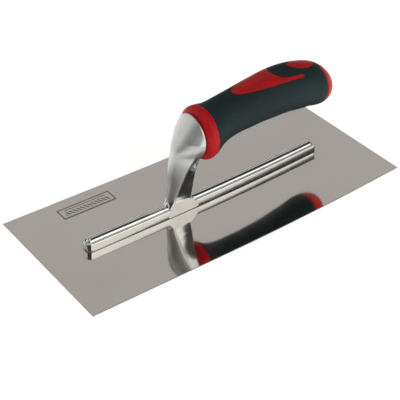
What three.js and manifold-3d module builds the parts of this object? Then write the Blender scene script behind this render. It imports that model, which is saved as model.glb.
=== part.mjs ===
// Plasterer's finishing trowel: cambered blade, cast mounting riveted along it, and a bolted-on soft-grip handle.
// Millimetres, +Z up, +X towards the butt of the handle. The origin is under the middle of the blade.
import * as THREE from 'three';
import { mergeVertices } from 'three/addons/utils/BufferGeometryUtils.js';
import Module from 'manifold-3d';

const wasm = await Module();
wasm.setup();

// Blade
const BLADE_LENGTH = 280;
const BLADE_WIDTH = 121;
const BLADE_THICKNESS = 0.8;
const CAMBER_RADIUS = 2208;
const LAND_CENTRE = 8;
const LAND_HALF_LENGTH = 10;
const TOE_TANGENT_X = -34;
const CAMBER_FACET = 20;
const FIT_GAP = 0.3;

// Mounting bar
const BAR_START = -108.5;
const BAR_END = 104;
const BAR_HALF_WIDTH = 5;
const BAR_SIDE_HEIGHT = 7.1;
const BAR_EDGE_ROUND = 0.85;
const BEAD_RADIUS = 3;
const BEAD_CENTRE_HEIGHT = 5.94;
const CHANNEL_FLOOR = 6;
const CHANNEL_MARGIN = 0.3;
const BAR_CORNER_RADIUS = 1;
const BAR_STEPS = 11;
const BEAD_ENDS = [[BAR_START + 2, -34], [-16, BAR_END - 0.5]];

// Foot of the shank on the bar, seen from the side: [x, height]
const PAD_HALF_WIDTH = 5.02;
const PAD_OUTLINE = [
  [-38.2, 3], [-38, 7], [-36.3, 8.6], [-34.8, 11], [-33.6, 13.8],
  [-17.2, 11.6], [-16.2, 10.2], [-14.6, 8.4], [-12.4, 7.3], [-11.8, 3],
];

// Shank: [height, ridge x, crown x, rear x, half width, rear half width] up to the middle of the disc
const SHANK_STATIONS = [
  [5, -34.4, -41, -17, 4.2, 4.4],
  [7.4, -34.2, -40.6, -17.6, 4.2, 4.4],
  [9, -34, -39.7, -18, 4.2, 4.4],
  [11, -33.7, -38.1, -18.1, 4.2, 4.4],
  [14, -33.2, -36.8, -18, 4.3, 4.4],
  [17.5, -32.4, -36.4, -17.1, 4.5, 4.3],
  [21, -31.4, -36, -16.2, 5.15, 4],
  [28.5, -29.3, -35.1, -14.7, 6.7, 4],
  [38.5, -26.3, -34.7, -14.1, 8.75, 6],
  [46, -23.4, -33.7, -14, 10.7, 9],
  [52, -20.9, -32.2, -13.9, 12.1, 12.6],
  [57, -19.9, -30.2, -13.9, 14, 15.6],
  [62.9, -18.2, -26.7, -13.9, 15.4, 16.8],
];
const DISC_CENTRE_HEIGHT = 62.9;
const DISC_TOP_HEIGHT = 80.4;
const DISC_REAR_TOP_HEIGHT = 80;
const DISC_TOP_RIDGE_X = -15.2;
const DISC_REAR_X = -13.9;
const DISC_SHOULDER_RADIUS = 14;
const SPIGOT_RADIUS = 6;
const SPIGOT_END = 4;

// Handle: [x, radius, height of the centre line]
const HANDLE_STATIONS = [
  [-12.6, 17.2, 63],
  [-9, 20.2, 62.9],
  [-4, 20.1, 63.2],
  [1, 18.2, 64.5],
  [6, 16.9, 66.3],
  [12, 16.3, 67.9],
  [18, 16.2, 68.9],
  [28, 16.4, 70.1],
  [38, 16.9, 71.1],
  [48, 17.5, 71.8],
  [58, 18, 72.4],
  [68, 18.4, 72.1],
  [78, 18.5, 71.1],
  [88, 18.3, 69.4],
  [98, 17.62, 66.9],
];
const COLLAR_START = -12.6;
const COLLAR_END = -4;

// Past its last full section the handle closes in a blunt dome
const BUTT_START = 88;
const BUTT_RADIUS = 18.3;
const BUTT_HEIGHT = 69.4;
const BUTT_LENGTH = 27.4;
const BUTT_ROUNDNESS = 2.6;
const BUTT_FALL = 0.25;
const CAP_START = 102;
const GRIP_THICKNESS = 2.6;

// Windows in the soft grip, seen from above: one half of the outline as [x, y]
const INLAY_HALF = [
  [21.7, 0], [22.6, 2.8], [25.6, 4.8], [31.2, 6.9], [40.5, 9.1], [50.3, 10.9], [60.7, 12.1], [68, 12.5], [75.5, 12.6],
  [79, 12.4], [80.6, 11.4], [79, 10.6], [73.3, 10.5], [66.2, 9.9], [61, 8.2], [58.4, 5.5], [57, 2.6], [57, 0],
];
const OVAL_CENTRE = 85.6;
const OVAL_HALF_LENGTH = 11.8;
const OVAL_HALF_WIDTH = 6.5;

// Small round dimples in the underside of the grip
const DIMPLES = [20, 43.5, 67, 90.5];
const DIMPLE_RADIUS = 1.2;
const DIMPLE_DEPTH = 0.8;
const WINDOW_FLOOR = 71;
const WINDOW_CEILING = 95;

// Through bolt, washer and the counterbore that they sit in
const BOLT_RADIUS = 3;
const BOLT_TIP = -8;
const BOLT_HEAD_RADIUS = 5;
const BOLT_HEAD_START = 94;
const BOLT_HEAD_END = 98;
const BOLT_SOCKET_RADIUS = 2.5;
const BOLT_SOCKET_DEPTH = 2.5;
const WASHER_RADIUS = 6;
const WASHER_THICKNESS = 1.2;
const COUNTERBORE_RADIUS = 6.6;
const CAP_STEM_LENGTH = 4;
const BOLT_LINE_FRONT = 63;
const BOLT_LINE_RISE = 0.04;

// Rivets, countersunk into the underside of the blade and blind in the bar
const RIVET_COUNT = 9;
const RIVET_FIRST = -100;
const RIVET_PITCH = 24;
const RIVET_HEAD_RADIUS = 3.2;
const RIVET_HEAD_RIM = 0.15;
const RIVET_SHANK_RADIUS = 2;
const RIVET_TOP = 5.6;
const RIVET_RECESS = 0.05;

const ROUND_SEGMENTS = 36;
const SMALL_SEGMENTS = 16;
const SHANK_COLUMNS = 40;
const SHANK_ROWS = 26;
const HANDLE_ROWS = 24;

const redPlastic = new THREE.MeshStandardMaterial({ color: 0xbe1c23, metalness: 0, roughness: 0.4 });
const darkRubber = new THREE.MeshStandardMaterial({ color: 0x2d3a3b, metalness: 0, roughness: 0.6 });
const polishedSteel = new THREE.MeshStandardMaterial({ color: 0x9e9892, metalness: 1, roughness: 0.08 });
const castAluminium = new THREE.MeshStandardMaterial({ color: 0xc9ccc8, metalness: 1, roughness: 0.25 });
const zincSteel = new THREE.MeshStandardMaterial({ color: 0x8f9496, metalness: 1, roughness: 0.35 });

// --- Helpers ----------------------------------------------------------------------------------

// Smooth interpolation of one column of a station table, through every station
function along(stations, at, column) {
  const last = stations.length - 1;
  let i = 0;
  while (i < last - 1 && at > stations[i + 1][0]) {
    i += 1;
  }
  const [before, from, to, after] = [i - 1, i, i + 1, i + 2].map((k) => stations[THREE.MathUtils.clamp(k, 0, last)]);
  const span = to[0] - from[0];
  const t = THREE.MathUtils.clamp((at - from[0]) / span, 0, 1);
  const slopeFrom = (to[column] - before[column]) / (to[0] - before[0]) * span;
  const slopeTo = (after[column] - from[column]) / (after[0] - from[0]) * span;
  const bend = from[column] - to[column];
  return from[column] + t * (slopeFrom + t * (-3 * bend - 2 * slopeFrom - slopeTo
    + t * (2 * bend + slopeFrom + slopeTo)));
}

function moveVertices(geometry, place) {
  const position = geometry.attributes.position;
  const point = new THREE.Vector3();
  for (let i = 0; i < position.count; i += 1) {
    point.fromBufferAttribute(position, i);
    place(point);
    position.setXYZ(i, point.x, point.y, point.z);
  }
  return geometry;
}

function solid(geometry) {
  const bare = geometry.clone();
  bare.deleteAttribute('normal');
  bare.deleteAttribute('uv');
  const merged = mergeVertices(bare, 1e-4);
  return new wasm.Manifold(new wasm.Mesh({
    numProp: 3,
    vertProperties: new Float32Array(merged.attributes.position.array),
    triVerts: new Uint32Array(merged.index.array),
  }));
}

function toGeometry(manifold) {
  const { vertProperties, triVerts } = manifold.getMesh();
  const geometry = new THREE.BufferGeometry();
  geometry.setAttribute('position', new THREE.BufferAttribute(new Float32Array(vertProperties), 3));
  geometry.setIndex(new THREE.BufferAttribute(new Uint32Array(triVerts), 1));
  return geometry;
}

function named(name, geometry, material) {
  geometry.computeVertexNormals();
  const mesh = new THREE.Mesh(geometry, material);
  mesh.name = name;
  return mesh;
}

function extrudeAlongX(shape, start, end, steps) {
  const geometry = new THREE.ExtrudeGeometry(shape, { depth: end - start, steps, bevelEnabled: false });
  return moveVertices(geometry, (p) => p.set(start + p.z, p.x, p.y));
}

function extrudeUp(shape, bottom, top) {
  const geometry = new THREE.ExtrudeGeometry(shape, { depth: top - bottom, bevelEnabled: false });
  return geometry.translate(0, 0, bottom);
}

// A body turned about the X axis; its profile is a list of [x, radius]
function turned(profile, segments) {
  const points = profile.map(([x, radius]) => new THREE.Vector2(radius, x));
  const geometry = new THREE.LatheGeometry(points, segments);
  return moveVertices(geometry, (p) => p.set(p.y, p.z, p.x));
}

// --- Camber -----------------------------------------------------------------------------------

// The underside is flat on a short land, an arc on both sides of it, and straight towards the toe
function camberArc(x) {
  const reach = Math.max(Math.abs(x - LAND_CENTRE), LAND_HALF_LENGTH);
  return (reach ** 2 - LAND_HALF_LENGTH ** 2) / (2 * CAMBER_RADIUS);
}

function camber(x) {
  const tangent = (TOE_TANGENT_X - LAND_CENTRE) / CAMBER_RADIUS;
  return x < TOE_TANGENT_X ? camberArc(TOE_TANGENT_X) + tangent * (x - TOE_TANGENT_X) : camberArc(x);
}

function camberSlope(x) {
  return (camber(x + 1) - camber(x - 1)) / 2;
}

function bendWithBlade(geometry) {
  return moveVertices(geometry, (p) => { p.z += camber(p.x); });
}

// --- Blade and rivets -------------------------------------------------------------------------

function camberStations() {
  const stations = [-BLADE_LENGTH / 2];
  const first = LAND_CENTRE - LAND_HALF_LENGTH - 6 * CAMBER_FACET;
  for (let x = first; x < BLADE_LENGTH / 2; x += CAMBER_FACET) {
    stations.push(x);
  }
  stations.push(BLADE_LENGTH / 2);
  return stations;
}

function rivetX(index) {
  return RIVET_FIRST + RIVET_PITCH * index;
}

function rivetGeometry(index, growth) {
  const profile = [
    [RIVET_RECESS - 4 * growth, 0],
    [RIVET_RECESS - 4 * growth, RIVET_HEAD_RADIUS + growth],
    [RIVET_HEAD_RIM, RIVET_HEAD_RADIUS + growth],
    [RIVET_HEAD_RIM + RIVET_HEAD_RADIUS - RIVET_SHANK_RADIUS, RIVET_SHANK_RADIUS + growth],
    [RIVET_TOP + growth, RIVET_SHANK_RADIUS + growth],
    [RIVET_TOP + growth, 0],
  ];
  const geometry = turned(profile, SMALL_SEGMENTS);
  const x = rivetX(index);
  return geometry.rotateY(-Math.PI / 2 - camberSlope(x)).translate(x, 0, camber(x));
}

function drillForRivets(body) {
  let drilled = body;
  for (let i = 0; i < RIVET_COUNT; i += 1) {
    drilled = drilled.subtract(solid(rivetGeometry(i, FIT_GAP)));
  }
  return drilled;
}

function bladeGeometry() {
  const stations = camberStations();
  const underside = stations.map((x) => new THREE.Vector2(x, camber(x)));
  const topside = stations.map((x) => new THREE.Vector2(x, camber(x) + BLADE_THICKNESS)).reverse();
  const profile = new THREE.Shape([...underside, ...topside]);
  const sheet = new THREE.ExtrudeGeometry(profile, { depth: BLADE_WIDTH, bevelEnabled: false });
  sheet.rotateX(Math.PI / 2).translate(0, BLADE_WIDTH / 2, 0);
  return toGeometry(drillForRivets(solid(sheet)));
}

// --- Mounting: bar, shank, disc and spigot in one casting ----------------------------------------

function barSection() {
  const shoulder = BAR_HALF_WIDTH - BAR_EDGE_ROUND;
  const section = new THREE.Shape();
  section.moveTo(-BAR_HALF_WIDTH, FIT_GAP);
  section.lineTo(BAR_HALF_WIDTH, FIT_GAP);
  section.absarc(shoulder, BAR_SIDE_HEIGHT - BAR_EDGE_ROUND, BAR_EDGE_ROUND, 0, Math.PI / 2, false);
  section.absarc(-shoulder, BAR_SIDE_HEIGHT - BAR_EDGE_ROUND, BAR_EDGE_ROUND, Math.PI / 2, Math.PI, false);
  return section;
}

function channelSection() {
  const reach = BEAD_RADIUS + 2 * CHANNEL_MARGIN;
  const section = new THREE.Shape();
  section.moveTo(-reach, CHANNEL_FLOOR);
  section.lineTo(reach, CHANNEL_FLOOR);
  section.lineTo(reach, 2 * BAR_SIDE_HEIGHT);
  section.lineTo(-reach, 2 * BAR_SIDE_HEIGHT);
  return section;
}

// Outline seen from above, round at its toe end and with rounded corners at its heel end
function barPlan(start, end, halfWidth, corner) {
  const plan = new THREE.Shape();
  plan.absarc(start + halfWidth, 0, halfWidth, Math.PI / 2, 1.5 * Math.PI, false);
  plan.absarc(end - corner, corner - halfWidth, corner, -Math.PI / 2, 0, false);
  plan.absarc(end - corner, halfWidth - corner, corner, 0, Math.PI / 2, false);
  return plan;
}

// A straight bar of one cross section, cut to an outline seen from above
function cutBar(section, plan) {
  const block = solid(extrudeAlongX(section, BAR_START - 1, BAR_END + 1, BAR_STEPS));
  return block.intersect(solid(extrudeUp(plan, -1, 3 * BAR_SIDE_HEIGHT)));
}

function channelSolid([start, end]) {
  const halfWidth = BEAD_RADIUS + CHANNEL_MARGIN;
  const plan = barPlan(start - CHANNEL_MARGIN, end + CHANNEL_MARGIN, halfWidth, halfWidth - 0.1);
  return cutBar(channelSection(), plan);
}

function beadGeometry([start, end]) {
  const bead = new THREE.CapsuleGeometry(BEAD_RADIUS, end - start - 2 * BEAD_RADIUS, 4, 16, 6);
  bead.rotateZ(Math.PI / 2);
  return bead.translate((start + end) / 2, 0, BEAD_CENTRE_HEIGHT);
}

function barSolid() {
  const onBlade = (geometry) => solid(bendWithBlade(geometry.translate(0, 0, BLADE_THICKNESS)));
  const plain = cutBar(barSection(), barPlan(BAR_START, BAR_END, BAR_HALF_WIDTH, BAR_CORNER_RADIUS));
  const grooved = BEAD_ENDS.reduce((bar, ends) => bar.subtract(channelSolid(ends)), plain);
  const beads = BEAD_ENDS.map((ends) => onBlade(beadGeometry(ends)));
  return onBlade(toGeometry(grooved)).add(beads[0]).add(beads[1]);
}

function padSolid() {
  const outline = new THREE.Shape(PAD_OUTLINE.map(([x, height]) => new THREE.Vector2(x, height)));
  const slab = new THREE.ExtrudeGeometry(outline, { depth: 2 * PAD_HALF_WIDTH, bevelEnabled: false });
  return solid(slab.rotateX(Math.PI / 2).translate(0, PAD_HALF_WIDTH, 0));
}

// Ridge, crown and rear lines and half widths of the shank at a height, and the height of its rear edge
function shankAt(height) {
  const columns = [1, 2, 3, 4, 5].map((column) => along(SHANK_STATIONS, height, column));
  const [ridge, crown, rear, half, rearHalf] = columns;
  const up = Math.max(height - DISC_CENTRE_HEIGHT, 0) / (DISC_TOP_HEIGHT - DISC_CENTRE_HEIGHT);
  if (up === 0) {
    return { ridge, crown, rear, half, rearHalf, rearHeight: height };
  }
  const discRidge = DISC_TOP_RIDGE_X + (ridge - DISC_TOP_RIDGE_X) * (1 - up) ** 3;
  return {
    ridge: discRidge,
    crown: discRidge + (crown - ridge) * (1 - up ** 1.5),
    rear,
    half: half * Math.sqrt(1 - up ** 2.3),
    rearHalf: rearHalf * Math.sqrt(1 - up ** 2),
    rearHeight: DISC_CENTRE_HEIGHT + up * (DISC_REAR_TOP_HEIGHT - DISC_CENTRE_HEIGHT),
  };
}

// Point of the section at a fraction of the way round it: front arc, far flank, rear face, near flank
function shankPoint(height, fraction, point) {
  const { ridge, crown, rear, half, rearHalf, rearHeight } = shankAt(height);
  if (fraction <= 0.5) {
    const across = 4 * fraction - 1;
    return point.set(ridge + (crown - ridge) * (1 - across ** 2), -across * half, height);
  }
  if (fraction > 0.6 && fraction < 0.9) {
    const across = (fraction - 0.75) / 0.15;
    return point.set(rear, across * rearHalf, rearHeight);
  }
  const side = fraction <= 0.6 ? -1 : 1;
  const t = 10 * (fraction <= 0.6 ? fraction - 0.5 : 1 - fraction);
  const reach = THREE.MathUtils.lerp(half, rearHalf, t);
  return point.set(ridge + (rear - ridge) * t, side * reach, height + (rearHeight - height) * t);
}

function shankHeight(fraction) {
  const split = 0.72;
  const bottom = SHANK_STATIONS[0][0];
  if (fraction < split) {
    return bottom + (DISC_CENTRE_HEIGHT - bottom) * fraction / split;
  }
  const turn = (fraction - split) / (1 - split) * 1.54;
  return DISC_CENTRE_HEIGHT + (DISC_TOP_HEIGHT - DISC_CENTRE_HEIGHT) * Math.sin(turn);
}

function shankSolid() {
  const blank = new THREE.CylinderGeometry(1, 1, 1, SHANK_COLUMNS, SHANK_ROWS);
  moveVertices(blank, (p) => {
    const height = shankHeight(p.y + 0.5);
    const isCapCentre = Math.hypot(p.x, p.z) < 0.5;
    const fraction = (Math.atan2(p.x, p.z) / (2 * Math.PI) + 1) % 1;
    const snapped = Math.round(fraction * SHANK_COLUMNS) / SHANK_COLUMNS % 1;
    if (isCapCentre) {
      const { ridge, rear } = shankAt(height);
      p.set((ridge + rear) / 2, 0, height);
    } else {
      shankPoint(height, snapped, p);
    }
  });
  return solid(blank);
}

function boltLine(x) {
  return BOLT_LINE_FRONT + BOLT_LINE_RISE * (x - COLLAR_START);
}

function onBoltLine(profile) {
  return moveVertices(turned(profile, SMALL_SEGMENTS), (p) => { p.z += boltLine(p.x); });
}

// A straight round bar on the bolt line
function roundBar(start, end, radius) {
  return solid(onBoltLine([[start, 0], [start, radius], [end, radius], [end, 0]]));
}

function mountingGeometry() {
  const spigot = roundBar(DISC_TOP_RIDGE_X, SPIGOT_END, SPIGOT_RADIUS);
  const thread = roundBar(BOLT_TIP - FIT_GAP, SPIGOT_END + 1, BOLT_RADIUS + FIT_GAP);
  const shoulder = roundBar(DISC_REAR_X - 1, COLLAR_START - FIT_GAP, DISC_SHOULDER_RADIUS);
  const casting = drillForRivets(barSolid().add(padSolid()).add(shankSolid()));
  return toGeometry(casting.add(shoulder).add(spigot).subtract(thread));
}

// --- Handle -----------------------------------------------------------------------------------

function handleRadius(x) {
  if (x <= BUTT_START) {
    return along(HANDLE_STATIONS, x, 1);
  }
  return BUTT_RADIUS * Math.sqrt(1 - ((x - BUTT_START) / BUTT_LENGTH) ** BUTT_ROUNDNESS);
}

function handleHeight(x) {
  return x <= BUTT_START ? along(HANDLE_STATIONS, x, 2) : BUTT_HEIGHT - BUTT_FALL * (x - BUTT_START);
}

// Profile between two stations, a distance inside the outer surface
function handleProfile(start, end, inset, rows) {
  const profile = [];
  for (let i = 0; i <= rows; i += 1) {
    const x = start + (end - start) * i / rows;
    profile.push([x, handleRadius(x) - inset]);
  }
  return profile;
}

// Profile of the butt, its rows closing up towards the tip
function domeProfile(start, rows) {
  const tip = BUTT_START + BUTT_LENGTH - 0.01;
  const profile = [];
  for (let i = 0; i <= rows; i += 1) {
    const x = start + (tip - start) * Math.sin(Math.PI / 2 * i / rows);
    profile.push([x, handleRadius(x)]);
  }
  return profile;
}

function handleBody(profile) {
  return solid(moveVertices(turned(profile, ROUND_SEGMENTS), (p) => { p.z += handleHeight(p.x); }));
}

function closedProfile(profile) {
  return [[profile[0][0], 0], ...profile, [profile.at(-1)[0], 0]];
}

function smoothLine(points, count) {
  return new THREE.SplineCurve(points.map(([x, y]) => new THREE.Vector2(x, y))).getPoints(count);
}

// Outline of one half, from the middle line round to the middle line, completed by its mirror image
function mirroredOutline(half) {
  const otherHalf = half.slice(1, -1).reverse().map((p) => new THREE.Vector2(p.x, -p.y));
  return [...half, ...otherHalf];
}

function inlayOutline() {
  return mirroredOutline(smoothLine(INLAY_HALF, 30));
}

function ovalOutline() {
  const oval = new THREE.EllipseCurve(OVAL_CENTRE, 0, OVAL_HALF_LENGTH, OVAL_HALF_WIDTH, Math.PI, 0, true);
  return mirroredOutline(oval.getPoints(18));
}

function grownOutline(outline, distance) {
  return outline.map((point, i) => {
    const before = outline.at(i - 1);
    const after = outline[(i + 1) % outline.length];
    const tangent = after.clone().sub(before).normalize();
    return new THREE.Vector2(point.x - tangent.y * distance, point.y + tangent.x * distance);
  });
}

function windowSolid(outline, growth) {
  const shape = new THREE.Shape(grownOutline(outline, growth));
  return solid(extrudeUp(shape, WINDOW_FLOOR, WINDOW_CEILING));
}

function dimpleSolid(x) {
  const underside = handleHeight(x) - handleRadius(x);
  const pin = new THREE.CylinderGeometry(DIMPLE_RADIUS, DIMPLE_RADIUS, 2 + DIMPLE_DEPTH, SMALL_SEGMENTS);
  return solid(pin.rotateX(Math.PI / 2).translate(x, 0, underside + DIMPLE_DEPTH / 2 - 1));
}

function gripGeometry() {
  const start = COLLAR_END + FIT_GAP;
  const end = CAP_START - FIT_GAP;
  const outside = handleProfile(start, end, 0, HANDLE_ROWS);
  const inside = handleProfile(start, end, GRIP_THICKNESS, HANDLE_ROWS).reverse();
  const sleeve = handleBody([...outside, ...inside, outside[0]]);
  const windowed = sleeve
    .subtract(windowSolid(inlayOutline(), FIT_GAP))
    .subtract(windowSolid(ovalOutline(), FIT_GAP));
  return toGeometry(DIMPLES.reduce((grip, x) => grip.subtract(dimpleSolid(x)), windowed));
}

function coreGeometry() {
  const end = CAP_START - FIT_GAP;
  const collar = handleProfile(COLLAR_START, COLLAR_END, 0, 8);
  const inset = GRIP_THICKNESS + FIT_GAP;
  const shoulder = [COLLAR_END, handleRadius(COLLAR_END) - inset];
  const stem = handleProfile(COLLAR_END + FIT_GAP, end, inset, HANDLE_ROWS);
  const body = handleBody(closedProfile([...collar, shoulder, ...stem]));
  const outer = handleBody(closedProfile(handleProfile(COLLAR_END, end, 0, HANDLE_ROWS)));
  const inlayPad = outer.intersect(windowSolid(inlayOutline(), 0));
  const ovalPad = outer.intersect(windowSolid(ovalOutline(), 0));
  const counterboreFloor = BOLT_HEAD_START - WASHER_THICKNESS - 2 * FIT_GAP;
  return toGeometry(body.add(inlayPad).add(ovalPad)
    .subtract(roundBar(COLLAR_START - 1, SPIGOT_END + FIT_GAP, SPIGOT_RADIUS + FIT_GAP))
    .subtract(roundBar(COLLAR_START - 1, CAP_START + 1, BOLT_RADIUS + FIT_GAP))
    .subtract(roundBar(counterboreFloor, CAP_START + 1, COUNTERBORE_RADIUS)));
}

function capGeometry() {
  const stem = roundBar(CAP_START - CAP_STEM_LENGTH, CAP_START + 2, COUNTERBORE_RADIUS - FIT_GAP);
  return toGeometry(handleBody(closedProfile(domeProfile(CAP_START, 12))).add(stem));
}

function boltGeometry() {
  const profile = [
    [BOLT_TIP, 0],
    [BOLT_TIP, BOLT_RADIUS - 0.6],
    [BOLT_TIP + 0.6, BOLT_RADIUS],
    [BOLT_HEAD_START, BOLT_RADIUS],
    [BOLT_HEAD_START, BOLT_HEAD_RADIUS],
    [BOLT_HEAD_END, BOLT_HEAD_RADIUS],
    [BOLT_HEAD_END, BOLT_SOCKET_RADIUS],
    [BOLT_HEAD_END - BOLT_SOCKET_DEPTH, BOLT_SOCKET_RADIUS],
    [BOLT_HEAD_END - BOLT_SOCKET_DEPTH, 0],
  ];
  return onBoltLine(profile);
}

function washerGeometry() {
  const end = BOLT_HEAD_START - FIT_GAP;
  const start = end - WASHER_THICKNESS;
  const hole = BOLT_RADIUS + FIT_GAP;
  return onBoltLine([[start, hole], [start, WASHER_RADIUS], [end, WASHER_RADIUS], [end, hole], [start, hole]]);
}

// --- Assembly ---------------------------------------------------------------------------------

function rivetGroup() {
  const rivets = new THREE.Group();
  for (let i = 0; i < RIVET_COUNT; i += 1) {
    rivets.add(named(`rivet_${i + 1}`, rivetGeometry(i, 0), castAluminium));
  }
  return rivets;
}

function handleGroup() {
  const handle = new THREE.Group();
  handle.add(named('handle_core', coreGeometry(), redPlastic));
  handle.add(named('grip', gripGeometry(), darkRubber));
  handle.add(named('butt_cap', capGeometry(), redPlastic));
  handle.add(named('handle_bolt', boltGeometry(), zincSteel));
  handle.add(named('bolt_washer', washerGeometry(), zincSteel));
  return handle;
}

const trowel = new THREE.Group();
trowel.add(named('blade', bladeGeometry(), polishedSteel));
trowel.add(named('mounting', mountingGeometry(), castAluminium));
trowel.add(rivetGroup());
trowel.add(handleGroup());

export default trowel;
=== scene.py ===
"""Plasterer's finishing trowel: mirror-polished blade, cast aluminium mounting and a two-colour soft grip.

Metres, +Z up, +X towards the butt of the handle, origin under the middle of the blade.
"""

import math

import bmesh
import bpy
from bpy.props import FloatProperty, FloatVectorProperty, PointerProperty
from mathutils import Matrix, Vector


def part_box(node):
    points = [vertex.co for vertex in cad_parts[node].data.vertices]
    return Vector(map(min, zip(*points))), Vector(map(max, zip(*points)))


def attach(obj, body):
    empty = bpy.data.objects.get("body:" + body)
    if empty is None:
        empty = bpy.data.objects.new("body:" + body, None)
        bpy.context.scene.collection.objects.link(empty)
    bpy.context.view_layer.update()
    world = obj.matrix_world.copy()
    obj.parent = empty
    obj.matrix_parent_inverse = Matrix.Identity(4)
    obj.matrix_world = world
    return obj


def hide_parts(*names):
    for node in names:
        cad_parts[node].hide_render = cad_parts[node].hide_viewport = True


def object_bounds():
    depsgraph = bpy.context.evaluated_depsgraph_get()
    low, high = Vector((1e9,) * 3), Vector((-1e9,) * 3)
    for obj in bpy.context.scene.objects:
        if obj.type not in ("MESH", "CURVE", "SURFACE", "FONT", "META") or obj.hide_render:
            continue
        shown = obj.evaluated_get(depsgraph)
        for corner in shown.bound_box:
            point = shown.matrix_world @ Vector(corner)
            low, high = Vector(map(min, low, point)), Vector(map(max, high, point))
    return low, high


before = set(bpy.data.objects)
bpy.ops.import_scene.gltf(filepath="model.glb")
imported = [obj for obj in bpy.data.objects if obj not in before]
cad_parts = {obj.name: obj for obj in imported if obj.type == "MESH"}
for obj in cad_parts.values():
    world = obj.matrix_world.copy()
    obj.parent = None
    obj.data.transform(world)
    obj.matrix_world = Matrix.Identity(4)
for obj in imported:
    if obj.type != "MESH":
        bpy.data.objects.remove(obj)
cad_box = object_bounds()

bl_info = {
    "name": "Finishing trowel",
    "version": (1, 0, 0),
    "blender": (4, 5, 0),
    "location": "View3D > Sidebar > Trowel",
    "description": "Builds the visible pieces of a plasterer's finishing trowel round its CAD frame",
    "category": "Add Mesh",
}

MM = 0.001
BLADE_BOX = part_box("blade")
MOUNTING_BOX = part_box("mounting")
CORE_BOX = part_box("handle_core")
CAP_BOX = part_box("butt_cap")
RIVET_NAMES = sorted(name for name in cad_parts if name.startswith("rivet_"))
EDGE_DEPTH = 0.15 * MM
WINDOW_FLOOR, WINDOW_CEILING = 71 * MM, 95 * MM
OVERLAP = 1 * MM
BEAD_HEEL_MARGIN, HEEL_ROUND = 0.5 * MM, 0.9 * MM
GRIP_EDGE, CAP_EDGE = 0.35 * MM, 0.4 * MM
# Inset and length of the rounding at the collar's two ends
COLLAR_FRONT, COLLAR_BACK = (0.7 * MM, 0.5 * MM), (0.3 * MM, 0.4 * MM)
SPIGOT_CLEARANCE, STEM_CLEARANCE = 0.1 * MM, 0.15 * MM
THREAD_START, CAP_STEM = 4 * MM, 3.6 * MM
# Where the finger waves start and the length over which they deepen, in millimetres
WAVE_START, WAVE_FADE = 6.0, 8.0
FLOOR_HALF, FLOOR_DROP = 3.0, 0.0002
CAMERA_TARGET = Vector((-5.107 * MM, 1.831 * MM, 0.0))

# Foot of the shank in millimetres, seen from the side: x, height
PAD_OUTLINE = (
    (-38.2, 2.0), (-38.0, 7.0), (-36.3, 8.6), (-34.8, 11.0), (-33.6, 13.8),
    (-17.2, 11.6), (-16.2, 10.2), (-14.6, 8.4), (-12.4, 7.3), (-11.8, 2.0),
)

# Shank in millimetres: height, ridge x, crown x, rear x, half width, rear half width, up to the middle of the disc
SHANK_STATIONS = (
    (5.0, -34.4, -41.0, -17.0, 4.2, 4.4),
    (7.4, -34.2, -40.6, -17.6, 4.2, 4.4),
    (9.0, -34.0, -39.7, -18.0, 4.2, 4.4),
    (11.0, -33.7, -38.1, -18.1, 4.2, 4.4),
    (14.0, -33.2, -36.8, -18.0, 4.3, 4.4),
    (17.5, -32.4, -36.4, -17.1, 4.5, 4.3),
    (21.0, -31.4, -36.0, -16.2, 5.15, 4.0),
    (28.5, -29.3, -35.1, -14.7, 6.7, 4.0),
    (38.5, -26.3, -34.7, -14.1, 8.75, 6.0),
    (46.0, -23.4, -33.7, -14.0, 10.7, 9.0),
    (52.0, -20.9, -32.2, -13.9, 12.1, 12.6),
    (57.0, -19.9, -30.2, -13.9, 14.0, 15.6),
    (62.9, -18.2, -26.7, -13.9, 15.4, 16.8),
)

# Handle in millimetres: x, radius, height of the centre line; past the last but one station a blunt dome closes it
HANDLE_STATIONS = (
    (-12.6, 17.2, 63.0),
    (-9.0, 20.2, 62.9),
    (-4.0, 20.1, 63.2),
    (1.0, 18.2, 64.5),
    (6.0, 16.9, 66.3),
    (12.0, 16.3, 67.9),
    (18.0, 16.2, 68.9),
    (28.0, 16.4, 70.1),
    (38.0, 16.9, 71.1),
    (48.0, 17.5, 71.8),
    (58.0, 18.0, 72.4),
    (68.0, 18.4, 72.1),
    (78.0, 18.5, 71.1),
    (88.0, 18.3, 69.4),
    (98.0, 17.62, 66.9),
)

# Half outline of the thumb inlay seen from above, in millimetres
INLAY_HALF = (
    (21.7, 0.0), (22.6, 2.8), (25.6, 4.8), (31.2, 6.9), (40.5, 9.1), (50.3, 10.9), (60.7, 12.1), (68.0, 12.5),
    (75.5, 12.6), (79.0, 12.4), (80.6, 11.4), (79.0, 10.6), (73.3, 10.5), (66.2, 9.9), (61.0, 8.2), (58.4, 5.5),
    (57.0, 2.6), (57.0, 0.0),
)

# Places of the small dimples along the underside of the grip, in millimetres
DIMPLES = (20.0, 43.5, 67.0, 90.5)


# Studio light in degrees: the front box steps in above its middle; the others are radiance, then low, high and
# blur round the trowel and upwards
FRONT_BOX = {"radiance": 1.4, "low_right": 50.0, "step_in": 10.9}
SOFT_BOXES = (
    (0.75, (-170.0, -106.0, 4.0), (-5.0, 45.0, 4.0)),
    (0.60, (-110.0, -80.0, 6.0), (25.0, 50.0, 5.0)),
    (0.36, (-74.0, -58.0, 5.0), (-5.0, 12.0, 4.0)),
    (0.50, (-130.0, 20.0, 10.0), (52.0, 80.0, 4.0)),
    (0.15, (56.0, 126.0, 6.0), (-5.0, 45.0, 6.0)),
    (0.60, (126.0, 178.0, 5.0), (22.0, 52.0, 4.0)),
)
TOP_RADIANCE, ROOM_RADIANCE = 0.8, 0.06


# --- Properties -------------------------------------------------------------------------------------


def length(name, description, millimetres):
    return FloatProperty(name=name, description=description, default=millimetres * MM, min=0.0, unit="LENGTH")


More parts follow.
